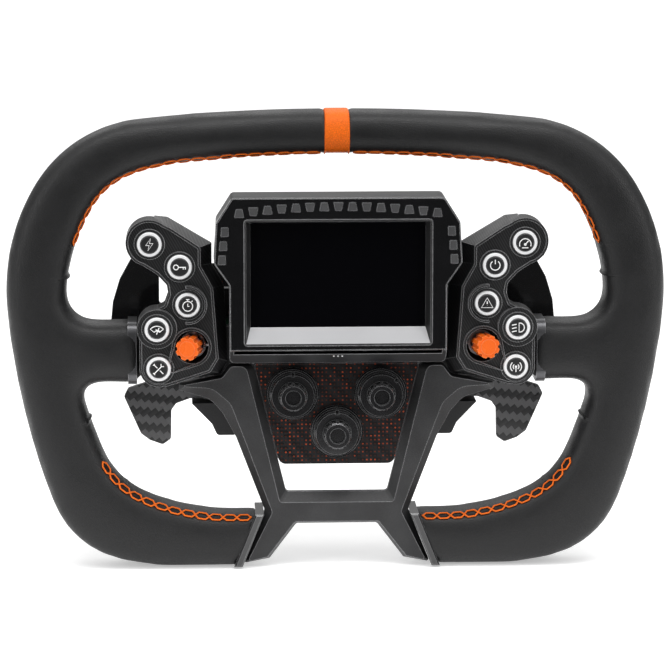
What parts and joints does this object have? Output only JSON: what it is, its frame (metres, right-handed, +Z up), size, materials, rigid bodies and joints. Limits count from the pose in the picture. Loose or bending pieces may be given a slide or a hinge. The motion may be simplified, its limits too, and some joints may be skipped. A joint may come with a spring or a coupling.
{
  "type": "racing wheel",
  "caption": "Simulator racing wheel with leather grips, a dash display, button pods with thumb sticks, dual rotary knobs, and shift and clutch paddles on a bolt-on hub.",
  "frame": {"origin": "centre of the hub's bolt circle on the rear mounting face", "axes": "+Y out of the rear mounting face, away from the driver; +X to the driver's right; +Z up"},
  "size_m": [0.331, 0.0763, 0.2312],
  "materials": {
    "black_leather": "smooth leather with a light grain",
    "orange_leather": "smooth",
    "foam": "moulded foam",
    "raw_aluminium": "milled",
    "gloss_black": "gloss",
    "frame_grey": "fine textured, bright edges",
    "anodised_black": "anodised",
    "pod_plastic": "satin",
    "housing_plastic": "matt",
    "carbon": "twill under clear lacquer",
    "carbon_dotted": "twill with a coloured thread",
    "light_ring": "translucent white",
    "button_black": "satin with a white icon",
    "knob_orange": "satin",
    "screen": "gloss",
    "surround_silver": "brushed",
    "steel": "plain",
    "circuit_board": "solder mask",
    "cable": "flat ribbon",
    "magnet": "plated"
  },
  "bodies": {
    "wheel": {"left_leather": "black_leather", "right_leather": "black_leather", "centre_band": "orange_leather", "rim_foam": "foam", "rim_core": "raw_aluminium", "grip_end_collars": "gloss_black", "spoke_brackets": "anodised_black", "front_frame": "frame_grey", "hub_plate": "anodised_black", "data_socket": "gloss_black", "rear_housing": "frame_grey", "chassis_plate": "raw_aluminium", "machine_screws": "steel", "rotary_plate": "carbon_dotted", "rotary_encoders": "steel", "display_housing": "housing_plastic", "display_bezel": "gloss_black", "display_surround": "surround_silver", "lcd_panel": "screen", "led_light_guides": "light_ring", "left_pod_shell": "pod_plastic", "right_pod_shell": "pod_plastic", "pod_covers": "housing_plastic", "small_boards": "circuit_board", "button_switches": "button_black", "button_light_rings": "light_ring", "left_paddle_mount": "anodised_black", "right_paddle_mount": "anodised_black", "paddle_pins": "steel", "paddle_magnets": "magnet", "main_board": "circuit_board", "ribbon_cables": "cable"},
    "boost_button": {"boost_button": "button_black"},
    "ignition_button": {"ignition_button": "button_black"},
    "timer_button": {"timer_button": "button_black"},
    "wiper_button": {"wiper_button": "button_black"},
    "service_button": {"service_button": "button_black"},
    "pit_button": {"pit_button": "button_black"},
    "power_button": {"power_button": "button_black"},
    "hazard_button": {"hazard_button": "button_black"},
    "headlight_button": {"headlight_button": "button_black"},
    "radio_button": {"radio_button": "button_black"},
    "left_rotary_ring": {"left_rotary_ring": "anodised_black"},
    "left_rotary_knob": {"left_rotary_knob": "anodised_black"},
    "right_rotary_ring": {"right_rotary_ring": "anodised_black"},
    "right_rotary_knob": {"right_rotary_knob": "anodised_black"},
    "middle_rotary_ring": {"middle_rotary_ring": "anodised_black"},
    "middle_rotary_knob": {"middle_rotary_knob": "anodised_black"},
    "left_shift_paddle": {"left_shift_paddle": "gloss_black"},
    "left_clutch_paddle": {"left_clutch_paddle": "carbon"},
    "left_stick_gimbal": {"left_stick_gimbal": "anodised_black"},
    "left_stick_yoke": {"left_stick_yoke": "steel"},
    "left_stick_spindle": {"left_stick_spindle": "steel"},
    "left_stick_knob": {"left_stick_knob": "knob_orange"},
    "right_shift_paddle": {"right_shift_paddle": "gloss_black"},
    "right_clutch_paddle": {"right_clutch_paddle": "carbon"},
    "right_stick_gimbal": {"right_stick_gimbal": "anodised_black"},
    "right_stick_yoke": {"right_stick_yoke": "steel"},
    "right_stick_spindle": {"right_stick_spindle": "steel"},
    "right_stick_knob": {"right_stick_knob": "knob_orange"}
  },
  "joints": [
    {"name": "boost_press", "type": "slide", "parent": "wheel", "child": "boost_button", "axis": [0, 1, 0], "range_m": [0, 0.0012], "stiffness_N_per_m": 1200, "springref_m": -0.0008},
    {"name": "ignition_press", "type": "slide", "parent": "wheel", "child": "ignition_button", "axis": [0, 1, 0], "range_m": [0, 0.0012], "stiffness_N_per_m": 1200, "springref_m": -0.0008},
    {"name": "timer_press", "type": "slide", "parent": "wheel", "child": "timer_button", "axis": [0, 1, 0], "range_m": [0, 0.0012], "stiffness_N_per_m": 1200, "springref_m": -0.0008},
    {"name": "wiper_press", "type": "slide", "parent": "wheel", "child": "wiper_button", "axis": [0, 1, 0], "range_m": [0, 0.0012], "stiffness_N_per_m": 1200, "springref_m": -0.0008},
    {"name": "service_press", "type": "slide", "parent": "wheel", "child": "service_button", "axis": [0, 1, 0], "range_m": [0, 0.0012], "stiffness_N_per_m": 1200, "springref_m": -0.0008},
    {"name": "pit_press", "type": "slide", "parent": "wheel", "child": "pit_button", "axis": [0, 1, 0], "range_m": [0, 0.0012], "stiffness_N_per_m": 1200, "springref_m": -0.0008},
    {"name": "power_press", "type": "slide", "parent": "wheel", "child": "power_button", "axis": [0, 1, 0], "range_m": [0, 0.0012], "stiffness_N_per_m": 1200, "springref_m": -0.0008},
    {"name": "hazard_press", "type": "slide", "parent": "wheel", "child": "hazard_button", "axis": [0, 1, 0], "range_m": [0, 0.0012], "stiffness_N_per_m": 1200, "springref_m": -0.0008},
    {"name": "headlight_press", "type": "slide", "parent": "wheel", "child": "headlight_button", "axis": [0, 1, 0], "range_m": [0, 0.0012], "stiffness_N_per_m": 1200, "springref_m": -0.0008},
    {"name": "radio_press", "type": "slide", "parent": "wheel", "child": "radio_button", "axis": [0, 1, 0], "range_m": [0, 0.0012], "stiffness_N_per_m": 1200, "springref_m": -0.0008},
    {"name": "left_ring_turn", "type": "hinge", "parent": "wheel", "child": "left_rotary_ring", "pos_m": [-0.0222, -0.058, -0.028], "axis": [0, -1, 0], "range_deg": [-150, 150]},
    {"name": "left_knob_turn", "type": "hinge", "parent": "wheel", "child": "left_rotary_knob", "pos_m": [-0.0222, -0.065, -0.028], "axis": [0, -1, 0], "continuous": true},
    {"name": "right_ring_turn", "type": "hinge", "parent": "wheel", "child": "right_rotary_ring", "pos_m": [0.0222, -0.058, -0.028], "axis": [0, -1, 0], "range_deg": [-195, 105]},
    {"name": "right_knob_turn", "type": "hinge", "parent": "wheel", "child": "right_rotary_knob", "pos_m": [0.0222, -0.065, -0.028], "axis": [0, -1, 0], "continuous": true},
    {"name": "middle_ring_turn", "type": "hinge", "parent": "wheel", "child": "middle_rotary_ring", "pos_m": [0, -0.058, -0.0474], "axis": [0, -1, 0], "range_deg": [-150, 150]},
    {"name": "middle_knob_turn", "type": "hinge", "parent": "wheel", "child": "middle_rotary_knob", "pos_m": [0, -0.065, -0.0474], "axis": [0, -1, 0], "continuous": true},
    {"name": "left_shift_pull", "type": "hinge", "parent": "wheel", "child": "left_shift_paddle", "pos_m": [-0.062, -0.018, 0], "axis": [0, 0, 1], "range_deg": [0, 4], "stiffness_Nm_per_rad": 3, "springref_deg": -2.86},
    {"name": "left_clutch_pull", "type": "hinge", "parent": "wheel", "child": "left_clutch_paddle", "pos_m": [-0.062, -0.018, -0.03], "axis": [0, 0, 1], "range_deg": [0, 12], "stiffness_Nm_per_rad": 2, "springref_deg": -2.86},
    {"name": "left_stick_up_down", "type": "hinge", "parent": "wheel", "child": "left_stick_gimbal", "pos_m": [-0.0719, -0.058, -0.002], "axis": [0.9781, -0.2079, 0], "range_deg": [-5, 5], "stiffness_Nm_per_rad": 0.5},
    {"name": "left_stick_sideways", "type": "hinge", "parent": "left_stick_gimbal", "child": "left_stick_yoke", "pos_m": [-0.0719, -0.058, -0.002], "axis": [0, 0, 1], "range_deg": [-5, 5], "stiffness_Nm_per_rad": 0.5},
    {"name": "left_stick_press", "type": "slide", "parent": "left_stick_yoke", "child": "left_stick_spindle", "axis": [0.2079, 0.9781, 0], "range_m": [0, 0.0008], "stiffness_N_per_m": 1500, "springref_m": -0.0006},
    {"name": "left_stick_turn", "type": "hinge", "parent": "left_stick_spindle", "child": "left_stick_knob", "pos_m": [-0.0719, -0.058, -0.002], "axis": [-0.2079, -0.9781, 0], "continuous": true},
    {"name": "right_shift_pull", "type": "hinge", "parent": "wheel", "child": "right_shift_paddle", "pos_m": [0.062, -0.018, 0], "axis": [0, 0, -1], "range_deg": [0, 4], "stiffness_Nm_per_rad": 3, "springref_deg": -2.86},
    {"name": "right_clutch_pull", "type": "hinge", "parent": "wheel", "child": "right_clutch_paddle", "pos_m": [0.062, -0.018, -0.03], "axis": [0, 0, -1], "range_deg": [0, 12], "stiffness_Nm_per_rad": 2, "springref_deg": -2.86},
    {"name": "right_stick_up_down", "type": "hinge", "parent": "wheel", "child": "right_stick_gimbal", "pos_m": [0.0719, -0.058, -0.002], "axis": [0.9781, 0.2079, 0], "range_deg": [-5, 5], "stiffness_Nm_per_rad": 0.5},
    {"name": "right_stick_sideways", "type": "hinge", "parent": "right_stick_gimbal", "child": "right_stick_yoke", "pos_m": [0.0719, -0.058, -0.002], "axis": [0, 0, 1], "range_deg": [-5, 5], "stiffness_Nm_per_rad": 0.5},
    {"name": "right_stick_press", "type": "slide", "parent": "right_stick_yoke", "child": "right_stick_spindle", "axis": [-0.2079, 0.9781, 0], "range_m": [0, 0.0008], "stiffness_N_per_m": 1500, "springref_m": -0.0006},
    {"name": "right_stick_turn", "type": "hinge", "parent": "right_stick_spindle", "child": "right_stick_knob", "pos_m": [0.0719, -0.058, -0.002], "axis": [0.2079, -0.9781, 0], "continuous": true}
  ]
}
